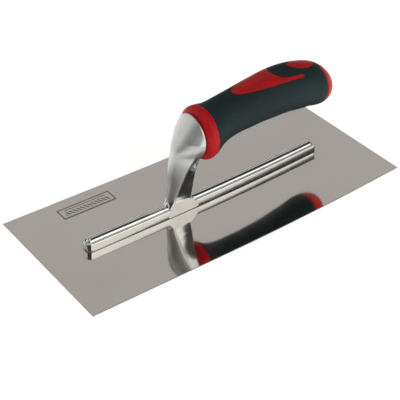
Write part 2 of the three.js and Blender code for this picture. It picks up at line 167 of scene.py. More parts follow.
def place(name, description, millimetres):
    return FloatProperty(name=name, description=description, default=millimetres * MM, unit="LENGTH")


def colour(name, description, red, green, blue):
    return FloatVectorProperty(
        name=name, description=description, default=(red, green, blue), min=0.0, max=1.0, subtype="COLOR"
    )


class BladeSizes(bpy.types.PropertyGroup):
    thickness: length("Thickness", "Thickness of the sheet", 0.8)
    camber_radius: length("Camber radius", "Radius of the bow along the blade", 2208.0)
    lowest_x: place("Lowest point", "Where along the blade the bow touches the bench", 8.0)
    toe_tangent_x: place("Straight toe", "Where the bow turns into the straight toe", -34.0)
    rivet_first_x: place("First rivet", "Place of the rivet nearest the toe", -100.0)
    rivet_pitch: length("Rivet pitch", "Distance between rivets", 24.0)
    rivet_head_radius: length("Rivet head radius", "Radius of the countersunk head", 3.2)
    rivet_shank_radius: length("Rivet shank radius", "Radius of the rivet's shank", 2.0)
    rivet_length: length("Rivet length", "Height of the rivet from the working face", 5.5)
    mark_x: place("Mark along", "Middle of the etched mark along the blade", -78.3)
    mark_y: place("Mark across", "Middle of the etched mark across the blade", 44.9)
    mark_half_length: length("Mark half length", "Half the length of the etched mark", 22.6)
    mark_half_width: length("Mark half width", "Half the width of the etched mark", 6.3)


class MountingSizes(bpy.types.PropertyGroup):
    half_width: length("Half width", "Half the width of the bar", 5.0)
    side_height: length("Side height", "Height of the bar's flat side", 7.1)
    edge_round: length("Edge round", "Rounding of the bar's upper edge", 0.85)
    foot_gap: length("Foot gap", "Hairline between the bar and the blade", 0.14)
    foot_round: length("Foot round", "Rounding of the bar's lower edge", 0.35)
    bead_radius: length("Bead radius", "Radius of the rounded bead on the bar", 3.0)
    bead_centre: length("Bead centre", "Height of the bead's centre line", 5.94)
    bead_margin: length("Bead margin", "Width of the groove's floor beside the bead", 0.2)
    bead_toe_end: place("Toe bead end", "Where the bead stops in front of the shank", -34.0)
    bead_heel_start: place("Heel bead start", "Where the bead starts behind the shank", -16.0)
    pad_half_width: length("Pad half width", "Half the width of the shank's foot", 5.02)
    ridge_round: length("Ridge round", "Rounding of the shank's long edges", 0.9)
    disc_top: length("Disc top", "Height of the disc's front edge", 80.38)
    disc_rear_top: length("Disc rear top", "Height of the disc's rear edge", 80.0)
    disc_ridge: place("Disc ridge", "Place of the disc's front edge at its top", -15.2)
    disc_rear: place("Disc rear", "Place of the disc's rear face", -13.9)
    shoulder_radius: length("Shoulder radius", "Radius of the step between the disc and the handle", 14.0)
    spigot_radius: length("Spigot radius", "Radius of the spigot inside the handle", 6.0)
    spigot_end: place("Spigot end", "Where the spigot ends inside the handle", 4.0)
    thread_radius: length("Thread radius", "Radius of the tapped hole in the spigot", 3.1)


class HandleSizes(bpy.types.PropertyGroup):
    grip_thickness: length("Grip thickness", "Thickness of the soft grip", 2.6)
    skin_allowance: length("Skin allowance", "How far the skin stays inside the nominal radius", 0.04)
    joint_gap: length("Joint gap", "Hairline between the two plastics", 0.12)
    collar_end_x: place("Collar end", "Where the collar gives way to the grip", -4.0)
    oval_x: place("Oval along", "Middle of the oval inlay along the handle", 85.6)
    oval_half_length: length("Oval half length", "Half the length of the oval inlay", 11.8)
    oval_half_width: length("Oval half width", "Half the width of the oval inlay", 6.5)
    cap_start: place("Cap start", "Where the grip gives way to the butt cap", 102.0)
    butt_start: place("Butt start", "Where the handle starts to close", 88.0)
    butt_length: length("Butt length", "Length over which the handle closes", 27.4)
    butt_roundness: FloatProperty(name="Butt roundness", description="Bluntness of the closed end", default=2.6)
    butt_fall: FloatProperty(name="Butt fall", description="Fall of the centre line for its length", default=0.25)
    wave_depth: length("Wave depth", "Depth of the finger waves under the grip", 0.6)
    dimple_radius: length("Dimple radius", "Radius of the dimples under the grip", 1.2)
    dimple_depth: length("Dimple depth", "Depth of the dimples under the grip", 0.8)
    bolt_front_z: place("Bolt line height", "Height of the bolt at the front of the handle", 63.0)
    bolt_rise: FloatProperty(name="Bolt rise", description="Rise of the bolt for its length", default=0.04)
    bolt_hole_radius: length("Bolt hole radius", "Radius of the hole for the bolt", 3.3)
    spigot_hole_radius: length("Spigot hole radius", "Radius of the hole for the spigot", 6.12)
    counterbore_radius: length("Counterbore radius", "Radius of the recess for the bolt's head", 6.6)
    counterbore_x: place("Counterbore floor", "Where the recess for the bolt's head starts", 92.2)


class Finishes(bpy.types.PropertyGroup):
    steel: colour("Blade steel", "Polished stainless steel", 0.60, 0.565, 0.535)
    aluminium: colour("Aluminium", "Cast and tumbled aluminium", 0.83, 0.84, 0.82)
    red: colour("Red plastic", "Hard plastic of the handle core", 0.60, 0.010, 0.015)
    rubber: colour("Dark rubber", "Soft plastic of the grip", 0.020, 0.034, 0.036)
    zinc: colour("Zinc", "Plated steel of the bolt", 0.62, 0.64, 0.66)
    floor: colour("Floor", "Pale studio floor", 0.90, 0.90, 0.90)


class StudioSizes(bpy.types.PropertyGroup):
    lens: FloatProperty(name="Lens", description="Focal length of the camera", default=98.93, min=10.0)
    azimuth: FloatProperty(name="Azimuth", description="Camera direction round the trowel",
                           default=math.radians(-37.157), subtype="ANGLE")
    elevation: FloatProperty(name="Elevation", description="Camera height above the bench",
                             default=math.radians(37.148), subtype="ANGLE")
    roll: FloatProperty(name="Roll", description="Camera roll", default=math.radians(0.41), subtype="ANGLE")
    distance: FloatProperty(name="Distance", description="Camera distance", default=0.8283, unit="LENGTH")
    table_glow: FloatProperty(name="Table glow", description="Light that the pale floor gives off", default=0.68)


# --- Node expressions -------------------------------------------------------------------------------


class Number:
    """A number socket that takes part in Python arithmetic and adds its Math nodes as it goes."""

    def __init__(self, net, socket):
        self.net = net
        self.socket = socket

    def math(self, operation, *others):
        return self.net.math(operation, self, *others)

    def __add__(self, other):
        return self.math("ADD", other)

    def __radd__(self, other):
        return self.math("ADD", other)

    def __sub__(self, other):
        return self.math("SUBTRACT", other)

    def __rsub__(self, other):
        return self.net.math("SUBTRACT", other, self)

    def __mul__(self, other):
        return self.math("MULTIPLY", other)

    def __truediv__(self, other):
        return self.math("DIVIDE", other)

    def __abs__(self):
        return self.math("ABSOLUTE")

    def least(self, other):
        return self.math("MINIMUM", other)

    def most(self, other):
        return self.math("MAXIMUM", other)

    def within(self, low, high):
        return self.most(low).least(high)

    def ramp(self, start, end):
        """0 at start, 1 at end, straight between them."""
        return ((self - start) / (end - start)).within(0.0, 1.0)


class Net:
    """A node tree and the one method that adds a node to it."""

    def __init__(self, tree):
        self.tree = tree
        tree.nodes.clear()

    def node(self, kind, settings=None, sockets=None):
        node = self.tree.nodes.new(kind)
        for key, value in (settings or {}).items():
            setattr(node, key, value)
        for key, value in (sockets or {}).items():
            self.feed(node.inputs[key], value)
        return node

    def feed(self, socket, value):
        if isinstance(value, Number):
            value = value.socket
        if isinstance(value, bpy.types.NodeSocket):
            self.tree.links.new(value, socket)
        else:
            socket.default_value = value

    def math(self, operation, *values):
        node = self.node("ShaderNodeMath", {"operation": operation}, dict(enumerate(values)))
        return Number(self, node.outputs[0])

    def parts(self, vector):
        node = self.node("ShaderNodeSeparateXYZ", sockets={"Vector": vector})
        return [Number(self, node.outputs[axis]) for axis in "XYZ"]

    def join(self, x, y, z):
        return self.node("ShaderNodeCombineXYZ", sockets={"X": x, "Y": y, "Z": z}).outputs[0]


class Finish(Net):
    """A material: its tree, its shader and the patterns that the finishes share."""

    def __init__(self, name):
        self.material = bpy.data.materials.new(name)
        self.material.use_nodes = True
        super().__init__(self.material.node_tree)
        self.shader = self.node("ShaderNodeBsdfPrincipled")
        output = self.node("ShaderNodeOutputMaterial")
        self.tree.links.new(self.shader.outputs["BSDF"], output.inputs["Surface"])
        self.place = self.node("ShaderNodeTexCoord").outputs["Object"]

    def stretched(self, x, y, z):
        """Object coordinates in pattern lengths along each axis, in millimetres."""
        scale = (1 / (x * MM), 1 / (y * MM), 1 / (z * MM))
        return self.node("ShaderNodeMapping", sockets={"Vector": self.place, "Scale": scale}).outputs[0]

    def noise(self, size, detail=3.0, roughness=0.5):
        size = size if isinstance(size, tuple) else (size, size, size)
        node = self.node("ShaderNodeTexNoise", sockets={
            "Vector": self.stretched(*size), "Scale": 1.0, "Detail": detail, "Roughness": roughness,
        })
        return Number(self, node.outputs["Fac"])

    def cells(self, size, feature="F1"):
        node = self.node("ShaderNodeTexVoronoi", {"feature": feature},
                         {"Vector": self.stretched(size, size, size), "Scale": 1.0})
        return Number(self, node.outputs["Distance"])

    def mix(self, factor, first, second):
        node = self.node("ShaderNodeMix", {"data_type": "RGBA"})
        self.feed(node.inputs[0], factor)
        for socket, value in zip((node.inputs[6], node.inputs[7]), (first, second)):
            self.feed(socket, (*value, 1.0) if isinstance(value, (tuple, list)) else value)
        return node.outputs[2]

    def bump(self, height, strength, distance, below=None):
        sockets = {"Height": height, "Strength": strength, "Distance": distance * MM}
        if below is not None:
            sockets["Normal"] = below
        return self.node("ShaderNodeBump", sockets=sockets).outputs[0]

    def surface(self, **sockets):
        for key, value in sockets.items():
            self.feed(self.shader.inputs[key.replace("_", " ")], value)
        return self.material


def shade(base, factor):
    return tuple(min(channel * factor, 1.0) for channel in base)


# --- Finishes ---------------------------------------------------------------------------------------


def mark_mask(finish, sizes):
    """The etched mark: a plain frame with a heavier near side, a row of slanted strokes and a thin bar."""
    x, y, _ = finish.parts(finish.place)
    along = (x - sizes.mark_x) / MM
    across = (y - sizes.mark_y) / MM
    half_length = sizes.mark_half_length / MM
    half_width = sizes.mark_half_width / MM
    outside = (abs(along) - half_length).most(abs(across) - half_width)
    border = 1.0 - abs(outside + 0.5).ramp(0.4, 0.8)
    near_line = abs(across + half_width - 0.8).ramp(0.9, 0.6) * abs(along).ramp(half_length, half_length - 0.3)
    strokes = abs(((along + across * 0.6) / 3.1).math("FRACT") - 0.5).ramp(0.30, 0.20)
    stroke_row = abs(across + 1.0).ramp(2.4, 2.0) * abs(along).ramp(19.2, 18.8)
    bar = abs(across - 3.3).ramp(0.7, 0.45) * abs(along).ramp(18.0, 17.6)
    return border.most(near_line).most(strokes * stroke_row).most(bar * 0.8)


def blade_edge_shade_mask(finish):
    """1 on the sheared edge faces of the blade, which are darkened with painted shade."""
    x, y, _ = finish.parts(finish.place)
    corner = BLADE_BOX[1] - Vector((EDGE_DEPTH, EDGE_DEPTH, 0.0))
    return (abs(x) - corner.x).most(abs(y) - corner.y).math("GREATER_THAN", 0.0)


def blade_steel(context):
    finish = Finish("blade_polished_steel")
    base = tuple(context.scene.trowel_finishes.steel)
    mark = mark_mask(finish, context.scene.trowel_blade)
    clouds = finish.noise((90.0, 60.0, 60.0), 2.0)
    lines = finish.noise((60.0, 0.35, 2.0), 2.0)
    scratches = finish.noise((38.0, 0.12, 1.0), 1.0).ramp(0.70, 0.76)
    smudges = finish.noise((26.0, 18.0, 18.0), 4.0, 0.6).ramp(0.52, 0.78)
    polished = finish.mix(clouds.ramp(0.3, 0.7), shade(base, 0.97), shade(base, 1.03))
    etched = finish.mix(mark * 0.95, polished, shade(base, 0.40))
    # Painted shade: the blade's edge faces are darkened so they read as a dark outline line instead of mirroring the
    # bright floor.
    edge_shaded = finish.mix(blade_edge_shade_mask(finish) * 0.8, etched, shade(base, 0.35))
    roughness = 0.045 + lines * 0.03 + smudges * 0.035 + scratches * 0.08 + mark * 0.3
    waviness = finish.bump(finish.noise((70.0, 50.0, 50.0), 1.0), 0.10, 0.05)
    normal = finish.bump(lines - mark * 1.5, 0.05, 0.004, waviness)
    return finish.surface(Base_Color=edge_shaded, Metallic=1.0, Roughness=roughness, Normal=normal)


def satin_mask(finish):
    """1 on the tumbled front of the shank and on the disc; 0 on the polished bar and the web behind the ridges."""
    x, _, z = finish.parts(finish.place)
    past_ridge = x / MM - (z / MM * 0.31 - 37.5)
    web = past_ridge.ramp(0.8, 1.6) * z.ramp(54.0 * MM, 44.0 * MM)
    return z.ramp(12.0 * MM, 16.0 * MM) * (1.0 - web)


def cast_aluminium(context):
    finish = Finish("mounting_cast_aluminium")
    base = tuple(context.scene.trowel_finishes.aluminium)
    blotches = finish.noise(9.0, 4.0, 0.6)
    streaks = finish.noise((14.0, 1.4, 1.1), 3.0, 0.6)
    pits = finish.cells(1.7).ramp(0.16, 0.05) * finish.noise(6.0, 2.0).ramp(0.5, 0.62)
    bright = finish.mix(blotches.ramp(0.32, 0.68), shade(base, 0.90), shade(base, 1.03))
    satin = satin_mask(finish)
    dulled = finish.mix(satin * 0.22, bright, shade(base, 0.30))
    tinted = finish.mix(pits * 0.45, dulled, shade(base, 0.45))
    roughness = 0.09 + satin * 0.29 + streaks.ramp(0.35, 0.7) * 0.05 + pits * 0.25
    ripple = finish.bump(finish.noise((7.0, 5.0, 5.0), 2.0), 0.12, 0.12)
    normal = finish.bump(streaks - pits, 0.16, 0.02, ripple)
    return finish.surface(Base_Color=tinted, Metallic=1.0, Roughness=roughness, Normal=normal)


def rivet_metal(context):
    finish = Finish("rivet_ground_aluminium")
    base = tuple(context.scene.trowel_finishes.aluminium)
    grind = finish.noise((12.0, 0.25, 0.6), 2.0)
    tone = finish.mix(grind.ramp(0.3, 0.7), shade(base, 0.72), shade(base, 0.9))
    normal = finish.bump(grind, 0.15, 0.01)
    return finish.surface(Base_Color=tone, Metallic=1.0, Roughness=0.22 + grind * 0.14, Normal=normal)


def red_plastic(context):
    finish = Finish("core_red_plastic")
    base = tuple(context.scene.trowel_finishes.red)
    clouds = finish.noise(16.0, 3.0)
    grain = finish.noise(0.7, 3.0, 0.6)
    scuffs = finish.noise((9.0, 3.0, 3.0), 5.0, 0.65).ramp(0.60, 0.74)
    tone = finish.mix(clouds.ramp(0.3, 0.7), shade(base, 0.93), shade(base, 1.06))
    worn = finish.mix(scuffs * 0.10, tone, (0.62, 0.10, 0.10))
    roughness = 0.36 + grain * 0.10 + scuffs * 0.10
    normal = finish.bump(grain, 0.10, 0.02, finish.bump(clouds, 0.08, 0.15))
    return finish.surface(Base_Color=worn, Roughness=roughness, Specular_IOR_Level=0.2, Normal=normal)


def dark_rubber(context):
    finish = Finish("grip_dark_rubber")
    base = tuple(context.scene.trowel_finishes.rubber)
    clouds = finish.noise(22.0, 3.0)
    grain = finish.noise(0.55, 3.0, 0.65)
    pebbles = finish.cells(0.75, "SMOOTH_F1")
    rubs = finish.noise((14.0, 5.0, 5.0), 5.0, 0.65).ramp(0.58, 0.74)
    tone = finish.mix(clouds.ramp(0.3, 0.7), shade(base, 0.90), shade(base, 1.12))
    dusted = finish.mix(rubs * 0.12, tone, (0.085, 0.105, 0.105))
    roughness = 0.52 + grain * 0.10 - rubs * 0.08
    normal = finish.bump(pebbles, 0.20, 0.04, finish.bump(grain, 0.16, 0.03))
    return finish.surface(Base_Color=dusted, Roughness=roughness, Specular_IOR_Level=0.15, Normal=normal)


def zinc_steel(context):
    finish = Finish("fastener_zinc_steel")
    base = tuple(context.scene.trowel_finishes.zinc)
    clouds = finish.noise(3.0, 4.0, 0.6)
    tone = finish.mix(clouds.ramp(0.35, 0.65), shade(base, 0.85), base)
    normal = finish.bump(clouds, 0.15, 0.03)
    return finish.surface(Base_Color=tone, Metallic=1.0, Roughness=0.30 + clouds * 0.12, Normal=normal)


def floor_paper(context):
    finish = Finish("studio_floor")
    base = tuple(context.scene.trowel_finishes.floor)
    fibres = finish.noise(4.0, 4.0, 0.6)
    tone = finish.mix(fibres, shade(base, 0.995), base)
    glow = context.scene.trowel_studio.table_glow
    return finish.surface(Base_Color=tone, Roughness=0.9, Specular_IOR_Level=0.1,
                          Emission_Color=(1.0, 1.0, 1.0, 1.0), Emission_Strength=glow)


# --- Shapes -----------------------------------------------------------------------------------------


def along(stations, at, column):
    """Smooth interpolation of one column of a station table, through every station."""
    last = len(stations) - 1
    i = 0
    while i < last - 1 and at > stations[i + 1][0]:
        i += 1
    before, start, end, after = (stations[min(max(k, 0), last)] for k in (i - 1, i, i + 1, i + 2))
    span = end[0] - start[0]
    t = min(max((at - start[0]) / span, 0.0), 1.0)
    slope_start = (end[column] - before[column]) / (end[0] - before[0]) * span
    slope_end = (after[column] - start[column]) / (after[0] - start[0]) * span
    step = start[column] - end[column]
    square, cube = -3 * step - 2 * slope_start - slope_end, 2 * step + slope_start + slope_end
    return start[column] + t * (slope_start + t * (square + t * cube))


def camber(sizes, x):
    """Height of the blade's underside: an arc, with a straight toe."""
    start = sizes.toe_tangent_x - sizes.lowest_x
    bent = max(x - sizes.lowest_x, start)
    straight = min(x - sizes.toe_tangent_x, 0.0)
    return (bent ** 2 / 2 + start * straight) / sizes.camber_radius


def new_object(name, vertices, faces):
    """A closed mesh object from points and faces, doubles merged and faces turned outwards."""
    mesh = bpy.data.meshes.new(name)
    mesh.from_pydata(vertices, [], faces)
    shape = bmesh.new()
    shape.from_mesh(mesh)
    bmesh.ops.remove_doubles(shape, verts=shape.verts, dist=1e-7)
    bmesh.ops.dissolve_degenerate(shape, edges=shape.edges, dist=1e-8)
    bmesh.ops.recalc_face_normals(shape, faces=shape.faces)
    shape.to_mesh(mesh)
    shape.free()
    result = bpy.data.objects.new(name, mesh)
    bpy.context.scene.collection.objects.link(result)
    return result


def skin(name, rings, closed=False):
    """An object whose skin joins equal rings of points, with the first and last ring capped unless closed."""
    count = len(rings[0])
    vertices = [point for ring in rings for point in ring]
    faces = []
    pairs = list(zip(range(len(rings)), range(1, len(rings))))
    if closed:
        pairs.append((len(rings) - 1, 0))
    for first, second in pairs:
        for k in range(count):
            nxt = (k + 1) % count
            faces.append((first * count + k, first * count + nxt, second * count + nxt, second * count + k))
    if not closed:
        faces.append(tuple(range(count)))
        faces.append(tuple(range((len(rings) - 1) * count, len(rings) * count)))
    return new_object(name, vertices, faces)


def prism(name, outline, bottom, top):
    return skin(name, [[(x, y, bottom) for x, y in outline], [(x, y, top) for x, y in outline]])


def combine(target, operation, *others):
    """Joins or cuts target with other closed objects and removes those objects."""
    for other in others:
        modifier = target.modifiers.new("cut", "BOOLEAN")
        modifier.operation = operation
        modifier.solver = "EXACT"
        modifier.object = other
    settle(target)
    for other in others:
        bpy.data.objects.remove(other)
    return target


def settle(target):
    """Turns the object and its modifiers into a plain mesh."""
    bpy.context.view_layer.update()
    result = bpy.data.meshes.new_from_object(target.evaluated_get(bpy.context.evaluated_depsgraph_get()))
    target.modifiers.clear()
    target.data = result
    return target


def finish_piece(piece, material, slot, crease, *nodes):
    """Shades the piece, gives it its finish and ties it to the frame in place of its CAD nodes."""
    piece.data.materials.clear()
    piece.data.materials.append(material)
    piece.data.shade_smooth()
    piece.data.set_sharp_from_angle(angle=math.radians(crease))
    if nodes:
        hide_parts(*nodes)
    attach(piece, "root")


# --- Geometry node trees ------------------------------------------------------------------------------


class Growth(Net):
    """A geometry node tree with named inputs, grown on an empty object and settled to a mesh."""

    def __init__(self, name):
        super().__init__(bpy.data.node_groups.new(name, "GeometryNodeTree"))
        self.values = {}
        self.tree.interface.new_socket("Geometry", in_out="OUTPUT", socket_type="NodeSocketGeometry")
        self.source = None

    def inputs(self, **values):
        """Adds a named input for each value and returns them in order."""
        kinds = {float: "NodeSocketFloat", int: "NodeSocketInt"}
        for name, value in values.items():
            kind = kinds.get(type(value), "NodeSocketMaterial")
            socket = self.tree.interface.new_socket(name, in_out="INPUT", socket_type=kind)
            self.values[socket.identifier] = value
        self.source = self.node("NodeGroupInput")
        return [self.wrap(self.source.outputs[name], value) for name, value in values.items()]

    def wrap(self, socket, value):
        return Number(self, socket) if isinstance(value, (float, int)) else socket

    def grow(self, name, geometry, material):
        painted = self.node("GeometryNodeSetMaterial", sockets={"Geometry": geometry, "Material": material})
        output = self.node("NodeGroupOutput")
        self.tree.links.new(painted.outputs[0], output.inputs[0])
        result = bpy.data.objects.new(name, bpy.data.meshes.new(name))
        bpy.context.scene.collection.objects.link(result)
        modifier = result.modifiers.new("growth", "NODES")
        modifier.node_group = self.tree
        for identifier, value in self.values.items():
            modifier[identifier] = value
        return settle(result)


def camber_in_nodes(x, lowest, toe, radius):
    start = toe - lowest
    bent = (x - lowest).most(start)
    straight = (x - toe).least(0.0)
    return (bent * bent / 2.0 + start * straight) / radius


def rivets_in_nodes(net, first, pitch, count, head, shank, height, lowest, toe, radius, growth):
    """Instances of one countersunk rivet along the middle line, each set square to the bowed blade."""
    cone_depth = (head - shank) + 0.2 * MM
    cone = net.node("GeometryNodeMeshCone", {"fill_type": "NGON"}, {
        "Vertices": 32, "Radius Top": shank + growth, "Radius Bottom": head + growth, "Depth": cone_depth,
    })
    stem = net.node("GeometryNodeMeshCylinder", {"fill_type": "NGON"}, {
        "Vertices": 32, "Radius": shank + growth, "Depth": height + growth,
    })
    lifted = net.node("GeometryNodeTransform", sockets={
        "Geometry": stem.outputs["Mesh"], "Translation": net.join(0.0, 0.0, (height + growth) / 2.0),
    })
    dropped = net.node("GeometryNodeTransform", sockets={
        "Geometry": cone.outputs["Mesh"], "Translation": net.join(0.0, 0.0, 0.0 - growth * 0.4),
    })
    union = net.node("GeometryNodeMeshBoolean", {"operation": "UNION", "solver": "EXACT"})
    net.tree.links.new(dropped.outputs[0], union.inputs["Mesh 2"])
    net.tree.links.new(lifted.outputs[0], union.inputs["Mesh 2"])
    line = net.node("GeometryNodeMeshLine", {"mode": "OFFSET"}, {
        "Count": count, "Start Location": net.join(first, 0.0, 0.0), "Offset": net.join(pitch, 0.0, 0.0),
    })
    x, _, _ = net.parts(net.node("GeometryNodeInputPosition").outputs[0])
    rise = camber_in_nodes(x, lowest, toe, radius)
    slope = ((x - lowest).most(toe - lowest)) / radius
    raised = net.node("GeometryNodeSetPosition", sockets={
        "Geometry": line.outputs[0], "Offset": net.join(0.0, 0.0, rise),
    })
    copies = net.node("GeometryNodeInstanceOnPoints", sockets={
        "Points": raised.outputs[0], "Instance": union.outputs["Mesh"], "Rotation": net.join(0.0, 0.0 - slope, 0.0),
    })
    return net.node("GeometryNodeRealizeInstances", sockets={"Geometry": copies.outputs[0]}).outputs[0]


def rivet_inputs(sizes):
    return {
        "First": sizes.rivet_first_x, "Pitch": sizes.rivet_pitch, "Count": len(RIVET_NAMES),
        "Head": sizes.rivet_head_radius, "Shank": sizes.rivet_shank_radius, "Height": sizes.rivet_length,
        "Lowest": sizes.lowest_x, "Toe": sizes.toe_tangent_x, "Camber": sizes.camber_radius,
    }


def grow_rivets(sizes, material):
    net = Growth("rivets_along_blade")
    *numbers, paint = net.inputs(**rivet_inputs(sizes), Paint=material)
    zero = net.math("MULTIPLY", numbers[0], 0.0)
    return net.grow("blade_rivets", rivets_in_nodes(net, *numbers, zero), paint)


def grow_blade(sizes, material):
    """The blade: a fine sheet bent to its camber, with a countersunk hole for each rivet."""
    net = Growth("cambered_blade")
    low, high = BLADE_BOX
    *numbers, long, wide, thick, clearance, paint = net.inputs(
        **rivet_inputs(sizes), Length=high.x - low.x, Width=high.y - low.y, Thickness=sizes.thickness,
        Clearance=0.04 * MM, Paint=material,
    )
    lowest, toe, radius = numbers[-3:]
    sheet = net.node("GeometryNodeMeshCube", sockets={
        "Size": net.join(long, wide, thick), "Vertices X": 141, "Vertices Y": 13, "Vertices Z": 2,
    })
    x, _, _ = net.parts(net.node("GeometryNodeInputPosition").outputs[0])
    bent = net.node("GeometryNodeSetPosition", sockets={
        "Geometry": sheet.outputs["Mesh"],
        "Offset": net.join(0.0, 0.0, camber_in_nodes(x, lowest, toe, radius) + thick / 2.0),
    })
    cutters = rivets_in_nodes(net, *numbers, clearance)
    drilled = net.node("GeometryNodeMeshBoolean", {"operation": "DIFFERENCE", "solver": "EXACT"})
    net.tree.links.new(bent.outputs[0], drilled.inputs["Mesh 1"])
    net.tree.links.new(cutters, drilled.inputs["Mesh 2"])
    return net.grow("blade_sheet", drilled.outputs["Mesh"], paint)


# --- Mounting -----------------------------------------------------------------------------------------


def round_end(inside, full):
    """Half width of a round-ended slot at a distance inside its end."""
    if inside <= 0.0:
        return 0.0
    if inside >= full:
        return full
    return math.sqrt(full ** 2 - (full - inside) ** 2)


def bead_inside(sizes, x):
    """Distance of x inside the nearest end of the bead; negative outside the bead."""
    heel_end = MOUNTING_BOX[1].x - BEAD_HEEL_MARGIN
    return max(sizes.bead_toe_end - x, min(x - sizes.bead_heel_start, heel_end - x))


def quarter(radius, steps):
    """Points of a quarter circle, from straight up down to the side."""
    turns = [math.radians(90 - 90 * step / steps) for step in range(steps + 1)]
    return [(radius * math.cos(t), radius * math.sin(t)) for t in turns]


def bar_profile(sizes, x, squeeze):
    """Half section of the bar as (distance in from the side, height), from the bottom middle to the top middle."""
    width, side = sizes.half_width, sizes.side_height - squeeze
    foot, rounding, margin = sizes.foot_round, sizes.edge_round, sizes.bead_margin
    inside = bead_inside(sizes, x)
    bead = round_end(inside, sizes.bead_radius)
    channel = round_end(inside + margin, sizes.bead_radius + margin)
    depth = min(channel / (0.8 * MM), 1.0)
    floor = side + (min(sizes.bead_centre, side) - side) * depth
    points = [(width, 0.0)]
    points += [(squeeze + foot - a, foot - b) for a, b in quarter(foot, 4)]
    points += [(squeeze + rounding - a, side - rounding + b) for a, b in reversed(quarter(rounding, 6))]
    points.append((max(width - channel - 0.45 * MM * depth, squeeze + rounding + 0.02 * MM), side))
    points.append((width - channel, floor))
    points += [(width - a, floor + b) for a, b in reversed(quarter(bead, 14))]
    return points


def bar_path(sizes):
    """Stations round the bar: up the near side to the toe, round the nose and back along the far side."""
    start, end = MOUNTING_BOX[0].x, MOUNTING_BOX[1].x
    nose = start + sizes.half_width
    edge = HEEL_ROUND
    offsets = [0.0, 0.08, 0.25, 0.55, 1.0]
    xs = [end - edge * offset for offset in offsets]
    fine = [place + k * 0.4 * MM for place in (sizes.bead_toe_end, sizes.bead_heel_start) for k in range(-10, 11)]
    heel = [end - BEAD_HEEL_MARGIN - k * 0.4 * MM for k in range(1, 10)]
    coarse = [nose + (end - edge - nose) * k / 54 for k in range(54)]
    xs += sorted({round(x, 6) for x in fine + heel + coarse if nose <= x < end - 1.2 * edge}, reverse=True)
    path = []
    for x in xs:
        reach = max(x - (end - edge), 0.0)
        squeeze = edge - math.sqrt(max(edge ** 2 - reach ** 2, 0.0))
        path.append((x, -1.0, 0.0, squeeze))
    steps = 20
    turn = [(nose, -math.cos(math.pi * k / steps), -math.sin(math.pi * k / steps), 0.0) for k in range(1, steps)]
    return path + turn + [(x, 1.0, 0.0, squeeze) for x, _, _, squeeze in reversed(path)]


def bar_object(blade, sizes):
    rings = []
    base = blade.thickness + sizes.foot_gap
    for x, side_y, side_x, squeeze in bar_path(sizes):
        ring = []
        for inset, height in bar_profile(sizes, x, squeeze):
            reach = sizes.half_width - inset
            here = x + side_x * reach
            ring.append((here, side_y * reach, height + base + camber(blade, here)))
        rings.append(ring)
    vertices = [point for ring in rings for point in ring]
    count = len(rings[0])
    faces = []
    for r in range(len(rings) - 1):
        for k in range(count - 1):
            a = r * count + k
            faces.append((a, a + 1, a + count + 1, a + count))
    last = (len(rings) - 1) * count
    faces.append(tuple(range(count)) + tuple(last + k for k in range(count - 2, 0, -1)))
    return new_object("mounting_bar", vertices, faces)


def pad_object(sizes):
    """The crisp foot of the shank, flush with the sides of the bar."""
    half = sizes.pad_half_width
    return skin("pad", [[(x * MM, side, z * MM) for x, z in PAD_OUTLINE] for side in (-half, half)])


def shank_at(sizes, height):
    """Ridge, crown, rear, half widths and rear height of the shank at a height, in millimetres."""
    ridge, crown, rear, half, rear_half = (along(SHANK_STATIONS, height, column) for column in range(1, 6))
    centre = SHANK_STATIONS[-1][0]
    up = max(height - centre, 0.0) / (sizes.disc_top / MM - centre)
    top_ridge = sizes.disc_ridge / MM
    disc_ridge = top_ridge + (ridge - top_ridge) * (1 - up) ** 3
    if up > 0.0:
        crown = disc_ridge + (crown - ridge) * (1 - up ** 1.5)
        ridge = disc_ridge
        half *= math.sqrt(max(1 - up ** 2.3, 0.0))
        rear_half *= math.sqrt(max(1 - up ** 2, 0.0))
        height = centre + up * (sizes.disc_rear_top / MM - centre)
    return ridge, crown, rear, half, rear_half, height


def rounded_corner(before, corner, after, radius, steps):
    """Points of a curve that rounds off a corner."""
    start = corner + (before - corner).normalized() * min(radius, (before - corner).length * 0.45)
    end = corner + (after - corner).normalized() * min(radius, (after - corner).length * 0.45)
    points = []
    for step in range(steps + 1):
        t = step / steps
        points.append(start * (1 - t) ** 2 + corner * 2 * t * (1 - t) + end * t ** 2)
    return points


def shank_ring(sizes, height):
    """One section of the shank: the bulging front between two rounded ridges, the flanks and the rear."""
    ridge, crown, rear, half, rear_half, rear_height = shank_at(sizes, height)
    radius = sizes.ridge_round / MM

    def front(across):
        return Vector((ridge + (crown - ridge) * (1 - across ** 2), across * half, height))

    steps = 28
    reach = max(1 - 1.6 * radius / max(half, 1.6 * radius), 0.0)
    arc = [front(reach * (2 * k / steps - 1)) for k in range(steps + 1)]
    corners = {side: Vector((ridge, side * half, height)) for side in (-1, 1)}
    rears = {side: Vector((rear, side * rear_half, rear_height)) for side in (-1, 1)}
    ring = list(arc)
    ring += rounded_corner(arc[-1], corners[1], rears[1], radius, 6)
    ring += rounded_corner(corners[1], rears[1], rears[-1], radius * 0.7, 4)
    ring += rounded_corner(rears[1], rears[-1], corners[-1], radius * 0.7, 4)
    ring += rounded_corner(rears[-1], corners[-1], arc[0], radius, 6)
    return [tuple(point * MM) for point in ring]


def shank_object(sizes):
    bottom, centre, top = SHANK_STATIONS[0][0], SHANK_STATIONS[-1][0], sizes.disc_top / MM
    rows, top_rows = 90, 34
    heights = [bottom + (centre - bottom) * k / rows for k in range(rows)]
    heights += [centre + (top - centre) * math.sin(math.radians(88.5 * k / top_rows)) for k in range(top_rows + 1)]
    return skin("mounting_shank", [shank_ring(sizes, height) for height in heights])


def bolt_line(sizes, x):
    return sizes.bolt_front_z + sizes.bolt_rise * (x - CORE_BOX[0].x)


def circle(radius, segments):
    turns = [2 * math.pi * k / segments for k in range(segments)]
    return [(radius * math.cos(t), radius * math.sin(t)) for t in turns]


